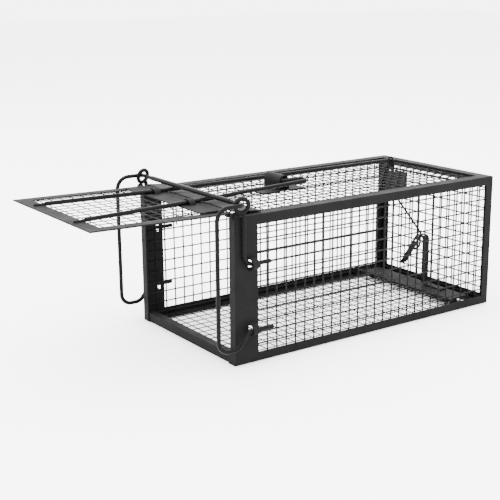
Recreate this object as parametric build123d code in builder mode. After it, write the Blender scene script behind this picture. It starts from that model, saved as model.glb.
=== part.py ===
"""Live catch trap: a sheet-steel and welded-mesh cage with a drop door, a wire bail and a bait treadle.

Millimetres, +Z up. +X runs from the door end to the closed rear end and +Y to the far side.
The origin is under the middle of the whole trap, door raised, on the surface it stands on.
"""
from build123d import *
from math import cos, radians, sin
import os

# Cage body
LENGTH = 269.0
WIDTH = 139.0
HEIGHT = 114.0
SHEET = 1.0
HALF = WIDTH / 2
DOOR_REACH = 112.0
FRONT = (DOOR_REACH - LENGTH) / 2
RAIL = 7.2
FRONT_POST = 20.0
TOP_FLANGE = 10.0
FRONT_FLANGE = 7.0
FRONT_FLANGE_TOP = 112.0
FLANGE_SETBACK = 6.0
FLANGE_JOIN = 0.5
BEND = 1.2

# Welded mesh
PITCH = 9.0
WIRE = 1.0
MESH = 1.6

# Wires and pins
BAR_R = 1.6
ROD_R = 1.6
TIP_R = 0.8
PIN_R = 1.2
BORE_R = PIN_R + 0.05
LINK_R = 0.9

# Door hinge
HINGE_X = FRONT + 0.3
HINGE_Z = 114.9
EAR_R = 3.0
KNUCKLE_R = 2.1
DOOR_KNUCKLE_R = 1.9
DOOR_TILT = 1.3
DOOR_LIFT = 0.6
DOOR_WIDTH = 130.0
DOOR_STRIP = 11.5
DOOR_RAIL = 9.2

# Hinge leaves
LEAF = 0.8
FRONT_LEAF_Z = 117.3
REAR_LEAF_Z = 117.0
REAR_LEAF_DROP = 2.4
LEAF_REACH = 20.5
REAR_LEAF_END = 27.6
REAR_LEAF_HALF = 64.7
FRONT_LEAF_HALF = 57.3
REAR_KNUCKLES = ((-38, -30), (30, 38))
FRONT_KNUCKLES = ((-50, -42), (-4, 4), (42, 50))
DOOR_KNUCKLES = ((-64.5, -59), (59, 64.5))
ROD_GAP = 0.02
ROD_Z = FRONT_LEAF_Z + LEAF + ROD_R + ROD_GAP

# Bail and its rings
BAIL_Y = 74.6
BAIL_TOP = 123.5
CROSSBAR_X = FRONT + 4.9
RING_WIRE_Y = 71.6
RING_R = 5.2
LUG_X = FRONT + 14.3
LUG_WIDTH = 5.4
LUG_OPENING = 4.4
LUG_HALF_GAP = 3.0
LUG_REACH = 8.1
LUG_RISE = 5.1
LUG_WALL = 0.9
LUG_CUT_DEPTH = 9.0
LUG_CUT_HEIGHT = 14.0
LUG_ROOT = 0.6
SLEEVE_R = 1.9
SLEEVE_HALF = 57.0
SLEEVE_BORE_R = BAR_R + 0.03
LUG_WIRE_END = FRONT + 30.6
UPPER_LUG_Z = 77.8
LOWER_LUG_Z = 27.4

# Arch bracket and rods
ARCH_X = FRONT + 90.5
ARCH_R = 5.0
ARCH_WALL = 0.9
ARCH_SPRING_Z = 120.9
ARCH_NEAR = -8.4
ARCH_FAR = 13.0
ROD_LINE_Y = 24.5
ROD_TAPER = 0.086
ROD_START_X = FRONT + 3.0
ARCH_BASE = (FRONT + 68, FRONT + 110)
ARCH_BASE_NEAR = -11.0
NOTCH_R = 5.5

# Treadle
TREADLE_X = FRONT + 233.0
TREADLE_Z = 6.0
TREADLE_DEPTH = 23.0
TREADLE_HALF = 58.0
TREADLE_KNUCKLES = ((-56, -42), (42, 56))
TREADLE_KNUCKLE_R = 2.2
TREADLE_PIN_HALF = 66
BRACKET_R = 3.5
BRACKET_Y = 64.7
STRAP_X = FRONT + 246.5
STRAP_WIDTH = 7.5

os.makedirs("parts", exist_ok=True)


def save(builder, label):
    """Label a finished piece and write its STEP file."""
    builder.part.label = label
    export_step(builder.part, f"parts/{label}.step")


def low(x0, x1, y0, y1, z0, z1, mode=Mode.ADD):
    """Box between two corners."""
    with Locations((x0, y0, z0)):
        Box(x1 - x0, y1 - y0, z1 - z0, align=(Align.MIN, Align.MIN, Align.MIN), mode=mode)


def rod_along(start, end, radius, mode=Mode.ADD):
    """Straight round rod from one point to another."""
    axis = Vector(*end) - Vector(*start)
    with BuildSketch(Plane(origin=start, z_dir=axis)) as disc:
        Circle(radius)
    extrude(disc.sketch, amount=axis.length, mode=mode)


def wire_along(points, radii, radius):
    """Round wire bent along straight runs with a radius at each corner."""
    with BuildLine() as route:
        FilletPolyline(*points, radius=radii)
    with BuildSketch(Plane(origin=route.line @ 0, z_dir=route.line % 0)) as disc:
        Circle(radius)
    sweep(disc.sketch, path=route.line)


def grille(plane, columns, rows):
    """Flat welded mesh panel, drawn as one sheet with square openings."""
    with BuildPart() as panel:
        with BuildSketch(plane):
            Rectangle(columns * PITCH + WIRE, rows * PITCH + WIRE)
            with GridLocations(PITCH, PITCH, columns, rows):
                Rectangle(PITCH - WIRE, PITCH - WIRE, mode=Mode.SUBTRACT)
        extrude(amount=MESH)
    return panel


# ---------------------------------------------------------------- cage shell
with BuildPart() as side_frame_near:
    with BuildSketch(Plane.YZ.offset(FRONT)) as section:
        with Locations((-HALF, 0)):
            Rectangle(TOP_FLANGE, HEIGHT, align=(Align.MIN, Align.MIN))
        outer = section.vertices().group_by(Axis.Y)[0]
        fillet(outer, BEND)
        with Locations((-HALF + SHEET, SHEET)):
            Rectangle(TOP_FLANGE, HEIGHT - 2 * SHEET, align=(Align.MIN, Align.MIN), mode=Mode.SUBTRACT)
    extrude(amount=LENGTH)
    # The top flange stops short of the door hinge
    low(FRONT, FRONT + FLANGE_SETBACK, -HALF + SHEET, -HALF + TOP_FLANGE,
        FRONT_FLANGE_TOP, HEIGHT, Mode.SUBTRACT)
    low(FRONT, FRONT + SHEET, -HALF + FLANGE_JOIN, -HALF + FRONT_FLANGE, SHEET / 2, FRONT_FLANGE_TOP)
    # Mesh window
    low(FRONT + FRONT_POST, FRONT + LENGTH - RAIL, -HALF, -HALF + SHEET, RAIL, HEIGHT - RAIL, Mode.SUBTRACT)
    # Lugs lanced out of the post, each bridging its own opening
    for lug_z in (UPPER_LUG_Z, LOWER_LUG_Z):
        low(LUG_X - LUG_OPENING / 2, LUG_X + LUG_OPENING / 2, -HALF, -HALF + SHEET,
            lug_z - LUG_HALF_GAP, lug_z + LUG_HALF_GAP, Mode.SUBTRACT)
        with BuildSketch(Plane.YZ.offset(LUG_X - LUG_WIDTH / 2)):
            with Locations((-HALF, lug_z)):
                Ellipse(LUG_REACH, LUG_RISE)
                Ellipse(LUG_REACH - LUG_WALL, LUG_RISE - LUG_WALL, mode=Mode.SUBTRACT)
            with Locations((-HALF + LUG_ROOT, lug_z)):
                Rectangle(LUG_CUT_DEPTH, LUG_CUT_HEIGHT, align=(Align.MIN, Align.CENTER),
                          mode=Mode.SUBTRACT)
        extrude(amount=LUG_WIDTH)
    # Ear that carries the hinge pin
    with BuildSketch(Plane.XZ.offset(HALF)):
        with Locations((HINGE_X, HINGE_Z)):
            Circle(EAR_R)
    extrude(amount=-SHEET)
    with BuildSketch(Plane.XZ.offset(HALF)):
        with Locations((HINGE_X, HINGE_Z)):
            Circle(BORE_R)
    extrude(amount=-SHEET, mode=Mode.SUBTRACT)
save(side_frame_near, "side_frame_near")

with BuildPart() as side_frame_far:
    mirror(side_frame_near.part, about=Plane.XZ)
save(side_frame_far, "side_frame_far")

REAR = FRONT + LENGTH
REAR_HALF = HALF - SHEET
FLANGE_GAP = 0.1
with BuildPart() as rear_frame:
    low(REAR - SHEET, REAR, -REAR_HALF, REAR_HALF, SHEET, HEIGHT - SHEET)
    low(REAR - SHEET, REAR, -REAR_HALF + RAIL, REAR_HALF - RAIL, RAIL, HEIGHT - RAIL, Mode.SUBTRACT)
    inner = HALF - TOP_FLANGE - FLANGE_GAP
    low(REAR - TOP_FLANGE, REAR, -inner, inner, HEIGHT - SHEET, HEIGHT)
    low(REAR - TOP_FLANGE, REAR, -inner, inner, 0, SHEET)
save(rear_frame, "rear_frame")

SILL_TOP = 7.5
SILL_DEPTH = 8.0
SILL_END_GAP = 2.0
SILL_FOOT_HALF = HALF - TOP_FLANGE - 0.2
with BuildPart() as front_sill:
    low(FRONT + SHEET, FRONT + 2 * SHEET, -REAR_HALF, REAR_HALF, SHEET, SILL_TOP)
    low(FRONT + SHEET, FRONT + 2 * SHEET, -SILL_FOOT_HALF, SILL_FOOT_HALF, 0, SILL_TOP)
    low(FRONT + SHEET, FRONT + SILL_DEPTH, -REAR_HALF + SILL_END_GAP, REAR_HALF - SILL_END_GAP,
        SILL_TOP - SHEET, SILL_TOP)
save(front_sill, "front_sill")

# ---------------------------------------------------------------- mesh panels
SIDE_COLUMNS, SIDE_ROWS, SIDE_MID_X, SIDE_MID_Z = 29, 12, FRONT + 134, 58.4
FLOOR_COLUMNS, TOP_COLUMNS, CROSS_COLUMNS = 29, 28, 14
FLOOR_MID_X = FRONT + 133.1
TOP_MID_X, TOP_MID_Y = FRONT + 137, 2
near_plane = Plane(origin=(SIDE_MID_X, -REAR_HALF, SIDE_MID_Z), x_dir=(1, 0, 0), z_dir=(0, 1, 0))
far_plane = Plane(origin=(SIDE_MID_X, REAR_HALF, SIDE_MID_Z), x_dir=(1, 0, 0), z_dir=(0, -1, 0))
floor_plane = Plane(origin=(FLOOR_MID_X, 0, SHEET))
top_plane = Plane(origin=(TOP_MID_X, TOP_MID_Y, HEIGHT - SHEET - MESH))
rear_plane = Plane(origin=(REAR - SHEET, 0, SIDE_MID_Z), x_dir=(0, 1, 0), z_dir=(-1, 0, 0))
save(grille(near_plane, SIDE_COLUMNS, SIDE_ROWS), "near_mesh")
save(grille(far_plane, SIDE_COLUMNS, SIDE_ROWS), "far_mesh")
save(grille(floor_plane, FLOOR_COLUMNS, CROSS_COLUMNS), "floor_mesh")
save(grille(top_plane, TOP_COLUMNS, CROSS_COLUMNS), "top_mesh")
save(grille(rear_plane, CROSS_COLUMNS, SIDE_ROWS), "rear_mesh")

# ---------------------------------------------------------------- door hinge
PIN_HALF = HALF + 0.8
with BuildPart() as hinge_pin:
    rod_along((HINGE_X, -PIN_HALF, HINGE_Z), (HINGE_X, PIN_HALF, HINGE_Z), PIN_R)
save(hinge_pin, "hinge_pin")

KNUCKLE_JOIN = 1.4
LEAF_JOIN = 0.2
REAR_LEAF_START = FRONT + 3.0
REAR_FEET_Y = (-62.0, 61.0)
FRONT_FEET_Y = (-55, 52)
FRONT_FOOT_DROP = 0.42


def knuckles(spans, x0, x1, leaf_z):
    """Curled knuckles round the hinge pin, each joined up to its leaf."""
    for y0, y1 in spans:
        rod_along((HINGE_X, y0, HINGE_Z), (HINGE_X, y1, HINGE_Z), KNUCKLE_R)
        low(x0, x1, y0, y1, HINGE_Z + KNUCKLE_JOIN, leaf_z)
        rod_along((HINGE_X, y0, HINGE_Z), (HINGE_X, y1, HINGE_Z), BORE_R, Mode.SUBTRACT)


with BuildPart() as rear_leaf:
    # The leaf slopes down from the hinge to rest on the cage top
    with BuildSketch(Plane.XZ.offset(-REAR_LEAF_HALF)):
        with BuildLine():
            Polyline((REAR_LEAF_START, REAR_LEAF_Z), (FRONT + REAR_LEAF_END, REAR_LEAF_Z - REAR_LEAF_DROP),
                     (FRONT + REAR_LEAF_END, REAR_LEAF_Z + LEAF - REAR_LEAF_DROP),
                     (REAR_LEAF_START, REAR_LEAF_Z + LEAF), close=True)
        make_face()
    extrude(amount=2 * REAR_LEAF_HALF)
    knuckles(REAR_KNUCKLES, HINGE_X + 0.3, REAR_LEAF_START + 0.4, REAR_LEAF_Z + LEAF_JOIN)
    for foot_y in REAR_FEET_Y:
        low(FRONT + 22, FRONT + 26, foot_y, foot_y + 1, HEIGHT, HEIGHT + 1.1)
save(rear_leaf, "rear_leaf")


def rod_y(x):
    """Half spacing of the door rods: they close in on each other towards the hinge."""
    return ROD_LINE_Y + (ROD_START_X - x) * ROD_TAPER


STRAP_FRONT = FRONT - 13.0
STRAP_BACK = FRONT - 8.0
STRAP_REACH, STRAP_RISE, STRAP_WALL = 5.2, 4.6, 0.8
SLOT_HALF = 4.0
CHANNEL_HALF = 2.2
with BuildPart() as front_leaf:
    low(FRONT - LEAF_REACH, HINGE_X, -FRONT_LEAF_HALF, FRONT_LEAF_HALF, FRONT_LEAF_Z, FRONT_LEAF_Z + LEAF)
    knuckles(FRONT_KNUCKLES, HINGE_X - 1.9, HINGE_X, FRONT_LEAF_Z + LEAF_JOIN)
    for side in (-1, 1):
        strap_y = side * rod_y((STRAP_FRONT + STRAP_BACK) / 2)
        # Opening left by the strap, and the channel that clears the rod behind it
        low(STRAP_FRONT - 0.6, STRAP_BACK + 0.4, strap_y - SLOT_HALF, strap_y + SLOT_HALF,
            FRONT_LEAF_Z, FRONT_LEAF_Z + LEAF, Mode.SUBTRACT)
        low(STRAP_BACK, HINGE_X - 1, strap_y - CHANNEL_HALF, strap_y + CHANNEL_HALF,
            FRONT_LEAF_Z, FRONT_LEAF_Z + LEAF, Mode.SUBTRACT)
        with BuildSketch(Plane.YZ.offset(STRAP_FRONT)):
            with Locations((strap_y, FRONT_LEAF_Z + LEAF / 2)):
                Ellipse(STRAP_REACH, STRAP_RISE)
                Ellipse(STRAP_REACH - STRAP_WALL, STRAP_RISE - STRAP_WALL, mode=Mode.SUBTRACT)
            with Locations((strap_y, FRONT_LEAF_Z)):
                Rectangle(14, 8, align=(Align.CENTER, Align.MAX), mode=Mode.SUBTRACT)
        extrude(amount=STRAP_BACK - STRAP_FRONT)
    # Pressed feet that keep the leaf off the door frame
    for foot_y in FRONT_FEET_Y:
        low(FRONT - 16, FRONT - 6, foot_y, foot_y + 3, FRONT_LEAF_Z - FRONT_FOOT_DROP,
            FRONT_LEAF_Z + LEAF_JOIN)
save(front_leaf, "front_leaf")

# ---------------------------------------------------------------- door
tilt = radians(DOOR_TILT)
door_plane = Plane(origin=(HINGE_X, 0, HINGE_Z + DOOR_LIFT), x_dir=(-cos(tilt), 0, sin(tilt)),
                   z_dir=(sin(tilt), 0, cos(tilt)))
DOOR_LENGTH = DOOR_REACH + 0.3
DOOR_NEAR_END = 3.0
DOOR_WINDOW_START = 14.0
DOOR_MESH_MID = 54.5
DOOR_COLUMNS, DOOR_ROWS = 11, 13
TUNNEL_R = 1.35
TIP_Z = 119.15
ROD_FRONT_Z = 119.8


def rod_point(side, distance, z):
    """Point on a door rod's line, at a distance ahead of the cage front."""
    return (FRONT - distance, side * rod_y(FRONT - distance), z)


with BuildPart() as door_frame:
    with BuildSketch(door_plane):
        with Locations((DOOR_NEAR_END, 0)):
            Rectangle(DOOR_LENGTH - DOOR_NEAR_END, DOOR_WIDTH, align=(Align.MIN, Align.CENTER))
        with Locations((DOOR_WINDOW_START, 0)):
            Rectangle(DOOR_LENGTH - DOOR_WINDOW_START - DOOR_STRIP, DOOR_WIDTH - 2 * DOOR_RAIL,
                      align=(Align.MIN, Align.CENTER), mode=Mode.SUBTRACT)
    extrude(amount=SHEET)
    # Low tunnels pressed up in the front strip for the thinned rod ends
    for side in (-1, 1):
        rod_along(rod_point(side, 108.5, TIP_Z), rod_point(side, 100.2, TIP_Z), TUNNEL_R)
    with BuildSketch(door_plane):
        Rectangle(3 * DOOR_REACH, 2 * DOOR_WIDTH)
    extrude(amount=-6, mode=Mode.SUBTRACT)
    for y0, y1 in DOOR_KNUCKLES:
        rod_along((HINGE_X, y0, HINGE_Z), (HINGE_X, y1, HINGE_Z), DOOR_KNUCKLE_R)
        low(HINGE_X - 3.4, HINGE_X, y0, y1, HINGE_Z + 0.9, HINGE_Z + 1.7)
        rod_along((HINGE_X, y0, HINGE_Z), (HINGE_X, y1, HINGE_Z), BORE_R, Mode.SUBTRACT)
    for side in (-1, 1):
        rod_along(rod_point(side, 107, TIP_Z), rod_point(side, 99, TIP_Z), TIP_R + 0.05, Mode.SUBTRACT)
save(door_frame, "door_frame")

under_door = door_plane.offset(-MESH)
door_mesh_plane = under_door.shift_origin(under_door.from_local_coords((DOOR_MESH_MID, 0, 0)))
save(grille(door_mesh_plane, DOOR_COLUMNS, DOOR_ROWS), "door_mesh")

for side, label in ((-1, "door_rod_near"), (1, "door_rod_far")):
    with BuildPart() as door_rod:
        rod_along(rod_point(side, 99.7, ROD_FRONT_Z), rod_point(side, -2.6, ROD_Z), ROD_R)
        rod_along(rod_point(side, 106.8, TIP_Z), rod_point(side, 97, TIP_Z), TIP_R)
    save(door_rod, label)

DROP_X, DROP_Y, DROP_BOTTOM, DROP_R = FRONT - 17.5, -18, 102, 0.5
with BuildPart() as drop_wire:
    rod_along((DROP_X, DROP_Y, DROP_BOTTOM), (DROP_X, DROP_Y, FRONT_LEAF_Z), DROP_R)
save(drop_wire, "drop_wire")

# ---------------------------------------------------------------- bail
BAR_FRONT = FRONT - 18.0
BAR_BOTTOM = 15.2
half_route = [(LUG_WIRE_END, LOWER_LUG_Z), (FRONT + 8.6, LOWER_LUG_Z), (FRONT - 0.5, BAR_BOTTOM),
              (BAR_FRONT, BAR_BOTTOM), (BAR_FRONT, BAIL_TOP), (CROSSBAR_X, BAIL_TOP)]
bail_route = [(x, -BAIL_Y, z) for x, z in half_route] + [(x, BAIL_Y, z) for x, z in reversed(half_route)]
half_radii = [7, 9, 9, 10, 4]
with BuildPart() as front_bail:
    wire_along(bail_route, half_radii + half_radii[::-1], BAR_R)
save(front_bail, "front_bail")

with BuildPart() as bail_sleeve:
    rod_along((CROSSBAR_X, -SLEEVE_HALF, BAIL_TOP), (CROSSBAR_X, SLEEVE_HALF, BAIL_TOP), SLEEVE_R)
    rod_along((CROSSBAR_X, -SLEEVE_HALF, BAIL_TOP), (CROSSBAR_X, SLEEVE_HALF, BAIL_TOP), SLEEVE_BORE_R,
              Mode.SUBTRACT)
save(bail_sleeve, "bail_sleeve")

SIDE_WIRE_X = FRONT + 7.2
RING_Z = BAIL_TOP - 0.6
RING_TURN = 15.0
RING_LEAN = 12.0
RING_OUT = 0.8
RING_JOIN = 0.6
SIDE_WIRE_BEND = 8
for side, label in ((-1, "ring_wire_near"), (1, "ring_wire_far")):
    # The eye is turned inward at the front, and both eyes lean the same way
    inward = side * sin(radians(RING_TURN))
    ring_plane = Plane(origin=(CROSSBAR_X, side * (RING_WIRE_Y + RING_OUT), RING_Z),
                       x_dir=(cos(radians(RING_TURN)), inward, 0),
                       z_dir=(inward, -cos(radians(RING_TURN)), 0)).rotated((RING_LEAN, 0, 0))
    wire_y = side * RING_WIRE_Y
    with BuildPart() as ring_wire:
        wire_along([(LUG_WIRE_END, wire_y, UPPER_LUG_Z), (SIDE_WIRE_X, wire_y, UPPER_LUG_Z),
                    (SIDE_WIRE_X, wire_y, RING_Z - RING_R + RING_JOIN)], [SIDE_WIRE_BEND], BAR_R)
        with BuildSketch(Plane(origin=ring_plane.from_local_coords((RING_R, 0, 0)),
                               x_dir=ring_plane.x_dir, z_dir=ring_plane.y_dir)):
            Circle(BAR_R)
        revolve(axis=Axis(ring_plane.origin, ring_plane.z_dir), revolution_arc=360)
    save(ring_wire, label)

# ---------------------------------------------------------------- arch bracket and long rods
BASE_Z = HEIGHT - SHEET
with BuildPart() as arch_bracket:
    low(*ARCH_BASE, ARCH_BASE_NEAR, ARCH_FAR, BASE_Z, BASE_Z + SHEET)
    with Locations((ARCH_X - 0.5, ARCH_BASE_NEAR, BASE_Z)):
        Cylinder(NOTCH_R, 4, mode=Mode.SUBTRACT)
    with BuildSketch(Plane.XZ.offset(-ARCH_FAR)):
        with Locations((ARCH_X, ARCH_SPRING_Z)):
            Circle(ARCH_R)
        with Locations((ARCH_X, BASE_Z)):
            Rectangle(2 * ARCH_R, ARCH_SPRING_Z - BASE_Z, align=(Align.CENTER, Align.MIN))
        with Locations((ARCH_X, BASE_Z)):
            Rectangle(4 * ARCH_R, ARCH_R, align=(Align.CENTER, Align.MAX), mode=Mode.SUBTRACT)
        with Locations((ARCH_X, ARCH_SPRING_Z)):
            Circle(ARCH_R - ARCH_WALL, mode=Mode.SUBTRACT)
        with Locations((ARCH_X, BASE_Z)):
            Rectangle(2 * (ARCH_R - ARCH_WALL), ARCH_SPRING_Z - BASE_Z,
                      align=(Align.CENTER, Align.MIN), mode=Mode.SUBTRACT)
    extrude(amount=ARCH_FAR - ARCH_NEAR)
save(arch_bracket, "arch_bracket")

HAIRPIN_X = FRONT + 107.0
AXLE_X = FRONT + 88.4
AXLE_Z = 121.8
HAIRPIN_Y, HAIRPIN_RISE = -16.4, 1.1
AXLE_NEAR, AXLE_FAR = -10.5, 8
with BuildPart() as latch_rod:
    wire_along([(ROD_START_X, -ROD_LINE_Y, ROD_Z), (HAIRPIN_X, HAIRPIN_Y, ROD_Z + HAIRPIN_RISE),
                (HAIRPIN_X, AXLE_NEAR, AXLE_Z), (AXLE_X, AXLE_NEAR, AXLE_Z), (AXLE_X, AXLE_FAR, AXLE_Z)],
               [2.6, 2.6, 2.2], ROD_R)
save(latch_rod, "latch_rod")

TRIGGER_END = FRONT + 237.3
TRIGGER_Z, TRIGGER_TIP_Z, TRIGGER_BEND = 118.7, 110, 3.5
with BuildPart() as trigger_rod:
    wire_along([(ROD_START_X, ROD_LINE_Y, ROD_Z), (TRIGGER_END, ROD_LINE_Y, TRIGGER_Z),
                (TRIGGER_END + 1.5, ROD_LINE_Y, TRIGGER_TIP_Z)], [TRIGGER_BEND], ROD_R)
save(trigger_rod, "trigger_rod")

LINK_X = STRAP_X + STRAP_WIDTH / 2
LINK_Y = 27.2
HOOK_X, HOOK_Y, HOOK_Z, HOOK_TOP = FRONT + 236.0, 21.6, 116.5, 121.4
with BuildPart() as hook_link:
    wire_along([(LINK_X, 4.2, 36.5), (LINK_X, -2.0, 41.0), (LINK_X, -3.0, 53.5),
                (HOOK_X + 3.0, LINK_Y, 92), (HOOK_X + 5.0, LINK_Y, 106), (HOOK_X + 0.5, LINK_Y, HOOK_Z),
                (HOOK_X, LINK_Y, HOOK_TOP), (HOOK_X, HOOK_Y, HOOK_TOP), (HOOK_X, HOOK_Y, HOOK_Z)],
               [1.6, 3.0, 8.0, 8.0, 4.0, 2.1, 2.1], LINK_R)
save(hook_link, "hook_link")

CATCH_X, CATCH_Y, CATCH_Z = FRONT + 265.4, 35.3, 80
with BuildPart() as catch_plate:
    low(CATCH_X, CATCH_X + SHEET, CATCH_Y, 50, CATCH_Z, 102.5)
    low(CATCH_X, CATCH_X + SHEET, CATCH_Y, 57.4, CATCH_Z, 101)
save(catch_plate, "catch_plate")

# ---------------------------------------------------------------- treadle
with BuildPart() as treadle_plate:
    low(TREADLE_X + 3, TREADLE_X + TREADLE_DEPTH, -TREADLE_HALF, TREADLE_HALF,
        TREADLE_Z - SHEET / 2, TREADLE_Z + SHEET / 2)
    for y0, y1 in TREADLE_KNUCKLES:
        rod_along((TREADLE_X, y0, TREADLE_Z), (TREADLE_X, y1, TREADLE_Z), TREADLE_KNUCKLE_R)
        low(TREADLE_X, TREADLE_X + 4, y0, y1, TREADLE_Z - SHEET / 2, TREADLE_Z + SHEET / 2)
        rod_along((TREADLE_X, y0, TREADLE_Z), (TREADLE_X, y1, TREADLE_Z), BORE_R, Mode.SUBTRACT)
save(treadle_plate, "treadle_plate")

with BuildPart() as treadle_pin:
    rod_along((TREADLE_X, -TREADLE_PIN_HALF, TREADLE_Z), (TREADLE_X, TREADLE_PIN_HALF, TREADLE_Z), PIN_R)
save(treadle_pin, "treadle_pin")

for side, label in ((-1, "treadle_bracket_near"), (1, "treadle_bracket_far")):
    with BuildPart() as treadle_bracket:
        low(TREADLE_X - BRACKET_R, TREADLE_X + BRACKET_R, side * BRACKET_Y - SHEET / 2,
            side * BRACKET_Y + SHEET / 2, SHEET, TREADLE_Z)
        rod_along((TREADLE_X, side * (BRACKET_Y - SHEET / 2), TREADLE_Z),
                  (TREADLE_X, side * (BRACKET_Y + SHEET / 2), TREADLE_Z), BRACKET_R)
        low(TREADLE_X - BRACKET_R, TREADLE_X + BRACKET_R, side * 65.9 - 0.7, side * 65.9 + 0.7,
            SHEET, 2 * SHEET)
        rod_along((TREADLE_X, side * 64, TREADLE_Z), (TREADLE_X, side * TREADLE_PIN_HALF, TREADLE_Z),
                  PIN_R + 0.02, Mode.SUBTRACT)
    save(treadle_bracket, label)

STRAP = 1.2
STRAP_BEND_Y, STRAP_TOP = -10, 52
STRAP_FOOT_Z = TREADLE_Z + SHEET / 2 + STRAP / 2
with BuildPart() as bait_strap:
    with BuildSketch(Plane.YZ.offset(STRAP_X)):
        with BuildLine() as strap_line:
            FilletPolyline((-35, STRAP_FOOT_Z), (STRAP_BEND_Y, STRAP_FOOT_Z), (STRAP_BEND_Y, STRAP_TOP),
                           (-1.5, STRAP_TOP), (19, 21),
                           radius=[3.0, 3.5, 3.0])
        trace(strap_line.line, STRAP)
    extrude(amount=STRAP_WIDTH)
    # Slot for the hooked end of the link
    low(STRAP_X + 2.1, STRAP_X + 5.4, -8.5, 4.5, 42, 54, Mode.SUBTRACT)
save(bait_strap, "bait_strap")
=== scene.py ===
"""Looks for the live catch trap: welded wire panels, powder-coated sheet and wire, on a pale floor."""

import math
import random

import bpy
from mathutils import Matrix, Vector


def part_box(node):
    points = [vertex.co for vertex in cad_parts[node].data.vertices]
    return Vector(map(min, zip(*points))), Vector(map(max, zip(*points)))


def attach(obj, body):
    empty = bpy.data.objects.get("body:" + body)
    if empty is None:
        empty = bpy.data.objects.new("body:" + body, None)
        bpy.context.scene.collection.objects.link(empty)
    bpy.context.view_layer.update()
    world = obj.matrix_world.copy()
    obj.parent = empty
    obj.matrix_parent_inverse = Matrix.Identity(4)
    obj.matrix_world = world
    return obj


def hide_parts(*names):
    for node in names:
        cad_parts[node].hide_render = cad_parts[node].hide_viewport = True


# Wire panels: node -> (gaps along the first in-plane axis, gaps along the second, wire radius)
PANELS = {
    "near_mesh": (29, 12, 0.0006),
    "far_mesh": (29, 12, 0.0006),
    "floor_mesh": (29, 14, 0.00042),
    "top_mesh": (28, 14, 0.00042),
    "rear_mesh": (14, 12, 0.0006),
}
DOOR_PANEL = "door_mesh"
DOOR_GAPS = (11, 13, 0.00036)
DOOR_TILT = math.radians(1.3)
# Edge wires run this far inside the panel's outline
EDGE = 0.0006
# Distance between the two wire layers in wire radii; at 2 they would only touch
SINK = 1.1
PANEL_DEPTH = 0.0016
WOBBLE = 0.00012
SIDES = 10
SPANS = 6
# Domed wire end: distance from the tip and share of the full radius, both in radii
DOME = ((0, 0.35), (0.3, 0.8), (1, 1))

# Powder coat
SPECULAR = 0.028
BUMP_DEPTH = 0.00012
EDGE_WEAR = 0.5
WORN_TONE = (0.03, 0.029, 0.028)
SCUFF_TONE = (0.02, 0.02, 0.02)
DUST_TONE = (0.035, 0.034, 0.033)
DUST_LEAST, DUST_MOST = 0.03, 0.1
DUST_DULLING = 0.6
GLOSS_DOWN, GLOSS_UP = 0.07, 0.08

# Studio
FLOOR_HALF = 6
FLOOR_DROP = 0.0003
FLOOR_TONES = (0.9, 0.9, 0.9), (0.92, 0.92, 0.92)
FLOOR_ROUGHNESS = 0.9
WORLD_STRENGTH = 6.0
SENSOR_WIDTH = 36
CLIP_START = 0.01

GLOSSY_WIRE = ("front_bail", "ring_wire_near", "ring_wire_far", "bail_sleeve", "hinge_pin", "door_rod_near",
               "door_rod_far", "latch_rod", "trigger_rod", "hook_link", "drop_wire", "treadle_pin")

# The photograph's camera, from a fit to the cage's edges
CAMERA_AT = Vector((-0.4869, -0.6787, 0.2819))
CAMERA_LOOK = Vector((0.5511, 0.7952, -0.2530))
CAMERA_ROLL = math.radians(-0.484)
CAMERA_LENS = 75.3

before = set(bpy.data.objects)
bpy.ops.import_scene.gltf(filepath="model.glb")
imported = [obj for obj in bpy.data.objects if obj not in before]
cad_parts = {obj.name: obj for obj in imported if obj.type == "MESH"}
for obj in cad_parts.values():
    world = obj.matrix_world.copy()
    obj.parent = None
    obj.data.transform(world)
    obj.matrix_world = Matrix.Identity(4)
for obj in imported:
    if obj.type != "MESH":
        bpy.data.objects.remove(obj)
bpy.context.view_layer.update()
random.seed(7)


# ---------------------------------------------------------------- materials
def node(tree, kind, **inputs):
    """Add a shader node and set its plain input values."""
    made = tree.nodes.new(kind)
    for key, value in inputs.items():
        made.inputs[key.replace("_", " ")].default_value = value
    return made


def noise(tree, coordinates, scale, detail, roughness):
    """Noise texture on object coordinates."""
    made = node(tree, "ShaderNodeTexNoise", Scale=scale, Detail=detail, Roughness=roughness)
    tree.links.new(coordinates, made.inputs["Vector"])
    return made.outputs["Fac"]


def spread(tree, value, low, high, to_low=0.0, to_high=1.0):
    """Remap a value from one range to another, clamped."""
    made = tree.nodes.new("ShaderNodeMapRange")
    for index, limit in enumerate((low, high, to_low, to_high), 1):
        made.inputs[index].default_value = limit
    tree.links.new(value, made.inputs[0])
    return made.outputs[0]


def mixed(tree, factor, first, second):
    """Mix two colours, each a plain value or a socket."""
    made = tree.nodes.new("ShaderNodeMix")
    made.data_type = "RGBA"
    tree.links.new(factor, made.inputs[0])
    for index, colour in ((6, first), (7, second)):
        if isinstance(colour, tuple):
            made.inputs[index].default_value = (*colour, 1)
        else:
            tree.links.new(colour, made.inputs[index])
    return made.outputs[2]


def maths(tree, operation, first, second):
    """Arithmetic on a socket and a socket or number."""
    made = tree.nodes.new("ShaderNodeMath")
    made.operation = operation
    tree.links.new(first, made.inputs[0])
    if isinstance(second, (int, float)):
        made.inputs[1].default_value = second
    else:
        tree.links.new(second, made.inputs[1])
    return made.outputs[0]


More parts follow.
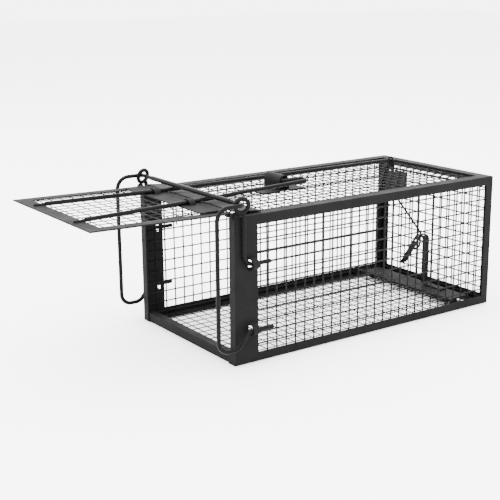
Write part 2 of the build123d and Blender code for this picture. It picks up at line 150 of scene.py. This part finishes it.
def coated(name, dark, light, gloss, grain, edge_radius):
    """Black powder coat: uneven tone, orange-peel bump, rubbed edges and light dust on upward faces."""
    material = bpy.data.materials.new(name)
    material.use_nodes = True
    tree = material.node_tree
    shader = tree.nodes["Principled BSDF"]
    place = tree.nodes.new("ShaderNodeTexCoord").outputs["Object"]
    geometry = tree.nodes.new("ShaderNodeNewGeometry")

    patches = noise(tree, place, 38, 5, 0.6)
    tone = mixed(tree, spread(tree, patches, 0.25, 0.78), dark, light)

    rounded = node(tree, "ShaderNodeBevel", Radius=edge_radius)
    turn = tree.nodes.new("ShaderNodeVectorMath")
    turn.operation = "DOT_PRODUCT"
    tree.links.new(rounded.outputs[0], turn.inputs[0])
    tree.links.new(geometry.outputs["True Normal"], turn.inputs[1])
    edge = spread(tree, turn.outputs["Value"], 0.97, 0.86)
    rubbing = spread(tree, noise(tree, place, 160, 6, 0.7), 0.48, 0.66)
    worn = maths(tree, "MULTIPLY", edge, rubbing)
    tone = mixed(tree, maths(tree, "MULTIPLY", worn, EDGE_WEAR), tone, WORN_TONE)

    scuffs = spread(tree, noise(tree, place, 420, 3, 0.8), 0.66, 0.78, 0, 0.2)
    tone = mixed(tree, scuffs, tone, SCUFF_TONE)

    split = tree.nodes.new("ShaderNodeSeparateXYZ")
    tree.links.new(geometry.outputs["Normal"], split.inputs[0])
    upward = spread(tree, split.outputs["Z"], 0.6, 1.0)
    settled = spread(tree, noise(tree, place, 70, 6, 0.65), 0.3, 0.8, DUST_LEAST, DUST_MOST)
    dust = maths(tree, "MULTIPLY", upward, settled)
    tone = mixed(tree, dust, tone, DUST_TONE)
    tree.links.new(tone, shader.inputs["Base Color"])

    uneven = noise(tree, place, 90, 4, 0.6)
    sheen = maths(tree, "ADD", spread(tree, uneven, 0.3, 0.7, gloss - GLOSS_DOWN, gloss + GLOSS_UP),
                  maths(tree, "MULTIPLY", dust, DUST_DULLING))
    tree.links.new(sheen, shader.inputs["Roughness"])
    shader.inputs["Specular IOR Level"].default_value = SPECULAR

    bump = node(tree, "ShaderNodeBump", Strength=grain, Distance=BUMP_DEPTH)
    tree.links.new(noise(tree, place, 1100, 3, 0.55), bump.inputs["Height"])
    tree.links.new(rounded.outputs[0], bump.inputs["Normal"])
    tree.links.new(bump.outputs[0], shader.inputs["Normal"])
    return material


SHEET = coated("sheet_coat", (0.0032, 0.0032, 0.0034), (0.0058, 0.0056, 0.0058), 0.56, 0.30, 0.0004)
WIRE = coated("wire_coat", (0.0024, 0.0024, 0.0026), (0.0045, 0.0045, 0.0047), 0.28, 0.20, 0.0002)
MESH = coated("mesh_coat", (0.004, 0.004, 0.0042), (0.0075, 0.0075, 0.0078), 0.38, 0.26, 0.0002)


def coat(piece, material):
    """Give a piece one finish."""
    piece.data.materials.clear()
    piece.data.materials.append(material)


# ---------------------------------------------------------------- wires
def straight_wire(vertices, faces, start, end, radius, bow):
    """Add a round wire with domed ends, bowed a little sideways."""
    along = (end - start).normalized()
    side = along.orthogonal().normalized()
    other = along.cross(side)
    length = (end - start).length
    stations = [(inset * radius, share) for inset, share in DOME]
    stations += [(length * step / SPANS, 1) for step in range(1, SPANS)]
    stations += [(length - inset * radius, share) for inset, share in reversed(DOME)]
    first = len(vertices)
    for distance, share in stations:
        centre = start + along * distance + bow * math.sin(math.pi * distance / length)
        for step in range(SIDES):
            angle = 2 * math.pi * step / SIDES
            out = side * math.cos(angle) + other * math.sin(angle)
            vertices.append(centre + out * radius * share)
    for ring in range(len(stations) - 1):
        base = first + ring * SIDES
        for step in range(SIDES):
            after = (step + 1) % SIDES
            faces.append((base + step, base + after, base + SIDES + after, base + SIDES + step))
    faces.append(tuple(first + step for step in reversed(range(SIDES))))
    last = first + (len(stations) - 1) * SIDES
    faces.append(tuple(last + step for step in range(SIDES)))


def wire_piece(name, vertices, faces):
    """Make a smooth-shaded mesh object."""
    mesh = bpy.data.meshes.new(name)
    mesh.from_pydata(vertices, [], faces)
    mesh.shade_smooth()
    piece = bpy.data.objects.new(name, mesh)
    bpy.context.scene.collection.objects.link(piece)
    return piece


def welded_panel(name, corner, first, second, normal, gaps):
    """Two layers of wires crossing at right angles, sunk into each other at the welds.

    corner is the panel's lowest corner, first and second its full edges and normal its thickness direction.
    """
    vertices, faces = [], []
    first_gaps, second_gaps, radius = gaps
    middle = PANEL_DEPTH / 2
    layers = ((first, second, second_gaps, middle - SINK * radius / 2),
              (second, first, first_gaps, middle + SINK * radius / 2))
    for run, across, count, depth in layers:
        step = (across.length - 2 * EDGE) / count
        for index in range(count + 1):
            inner = 0 < index < count
            start = corner + across.normalized() * (EDGE + step * index) + normal * depth
            bow = across.normalized() * (random.uniform(-WOBBLE, WOBBLE) if inner else 0)
            straight_wire(vertices, faces, start, start + run, radius, bow)
    return wire_piece(name, vertices, faces)


def box_panel(name, gaps):
    """Welded panel filling a flat CAD panel's box."""
    low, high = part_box(name)
    size = high - low
    thin = min(range(3), key=lambda axis: size[axis])
    first, second = (axis for axis in range(3) if axis != thin)
    edges = [Vector([size[axis] if axis == chosen else 0 for axis in range(3)])
             for chosen in (first, second)]
    normal = Vector([1.0 if axis == thin else 0.0 for axis in range(3)])
    return welded_panel(name + "_wires", low, edges[0], edges[1], normal, gaps)


def door_panel(name, gaps):
    """Welded panel lying in the door's slightly raised plane."""
    low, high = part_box(name)
    along = Vector((math.cos(DOOR_TILT), 0, -math.sin(DOOR_TILT)))
    normal = Vector((math.sin(DOOR_TILT), 0, math.cos(DOOR_TILT)))
    length = (high.x - low.x - PANEL_DEPTH * abs(normal.x)) / along.x
    corner = Vector((low.x, low.y, low.z + length * math.sin(DOOR_TILT)))
    across = Vector((0, high.y - low.y, 0))
    return welded_panel(name + "_wires", corner, along * length, across, normal, gaps)


for panel, gaps in PANELS.items():
    piece = box_panel(panel, gaps)
    coat(piece, MESH)
    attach(piece, "cage")
    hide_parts(panel)

piece = door_panel(DOOR_PANEL, DOOR_GAPS)
coat(piece, MESH)
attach(piece, "door")
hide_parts(DOOR_PANEL)

for name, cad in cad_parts.items():
    if name in PANELS or name == DOOR_PANEL:
        continue
    if name in GLOSSY_WIRE:
        coat(cad, WIRE)
    else:
        coat(cad, SHEET)


# ---------------------------------------------------------------- studio
def floor_material():
    """Pale floor with the faintest mottling."""
    material = bpy.data.materials.new("studio_floor")
    material.use_nodes = True
    tree = material.node_tree
    shader = tree.nodes["Principled BSDF"]
    place = tree.nodes.new("ShaderNodeTexCoord").outputs["Object"]
    tone = mixed(tree, noise(tree, place, 3, 3, 0.5), *FLOOR_TONES)
    tree.links.new(tone, shader.inputs["Base Color"])
    shader.inputs["Roughness"].default_value = FLOOR_ROUGHNESS
    return material


def softbox(name, where, aim, width, height, power):
    """Area light aimed at a point."""
    light = bpy.data.lights.new(name, "AREA")
    light.shape = "RECTANGLE"
    light.size, light.size_y, light.energy = width, height, power
    lamp = bpy.data.objects.new(name, light)
    bpy.context.scene.collection.objects.link(lamp)
    lamp.location = where
    lamp.rotation_euler = (Vector(aim) - Vector(where)).to_track_quat("-Z", "Y").to_euler()


floor_mesh = bpy.data.meshes.new("studio_floor")
floor_corners = [(x * FLOOR_HALF, y * FLOOR_HALF, 0) for x, y in ((-1, -1), (1, -1), (1, 1), (-1, 1))]
floor_mesh.from_pydata(floor_corners, [], [(0, 1, 2, 3)])
floor = bpy.data.objects.new("studio_floor", floor_mesh)
bpy.context.scene.collection.objects.link(floor)
floor.location.z = -FLOOR_DROP
floor_mesh.materials.append(floor_material())

softbox("overhead", (0.1, 0.1, 1.7), (0, 0, 0.05), 1.8, 1.8, 90)
softbox("left_key", (-1.5, -0.5, 0.9), (0, 0, 0.06), 1.0, 1.0, 9)
softbox("right_fill", (0.9, -1.6, 0.8), (0, 0, 0.06), 1.2, 1.0, 3)

world = bpy.data.worlds.new("studio")
world.use_nodes = True
world.node_tree.nodes["Background"].inputs["Color"].default_value = (1, 1, 1, 1)
world.node_tree.nodes["Background"].inputs["Strength"].default_value = WORLD_STRENGTH
bpy.context.scene.world = world

lens = bpy.data.cameras.new("photo_camera")
lens.lens = CAMERA_LENS
lens.sensor_width = SENSOR_WIDTH
lens.clip_start = CLIP_START
camera = bpy.data.objects.new("photo_camera", lens)
bpy.context.scene.collection.objects.link(camera)
turn = CAMERA_LOOK.to_track_quat("-Z", "Y").to_matrix().to_4x4()
camera.matrix_world = Matrix.Translation(CAMERA_AT) @ turn @ Matrix.Rotation(CAMERA_ROLL, 4, "Z")
bpy.context.scene.camera = camera
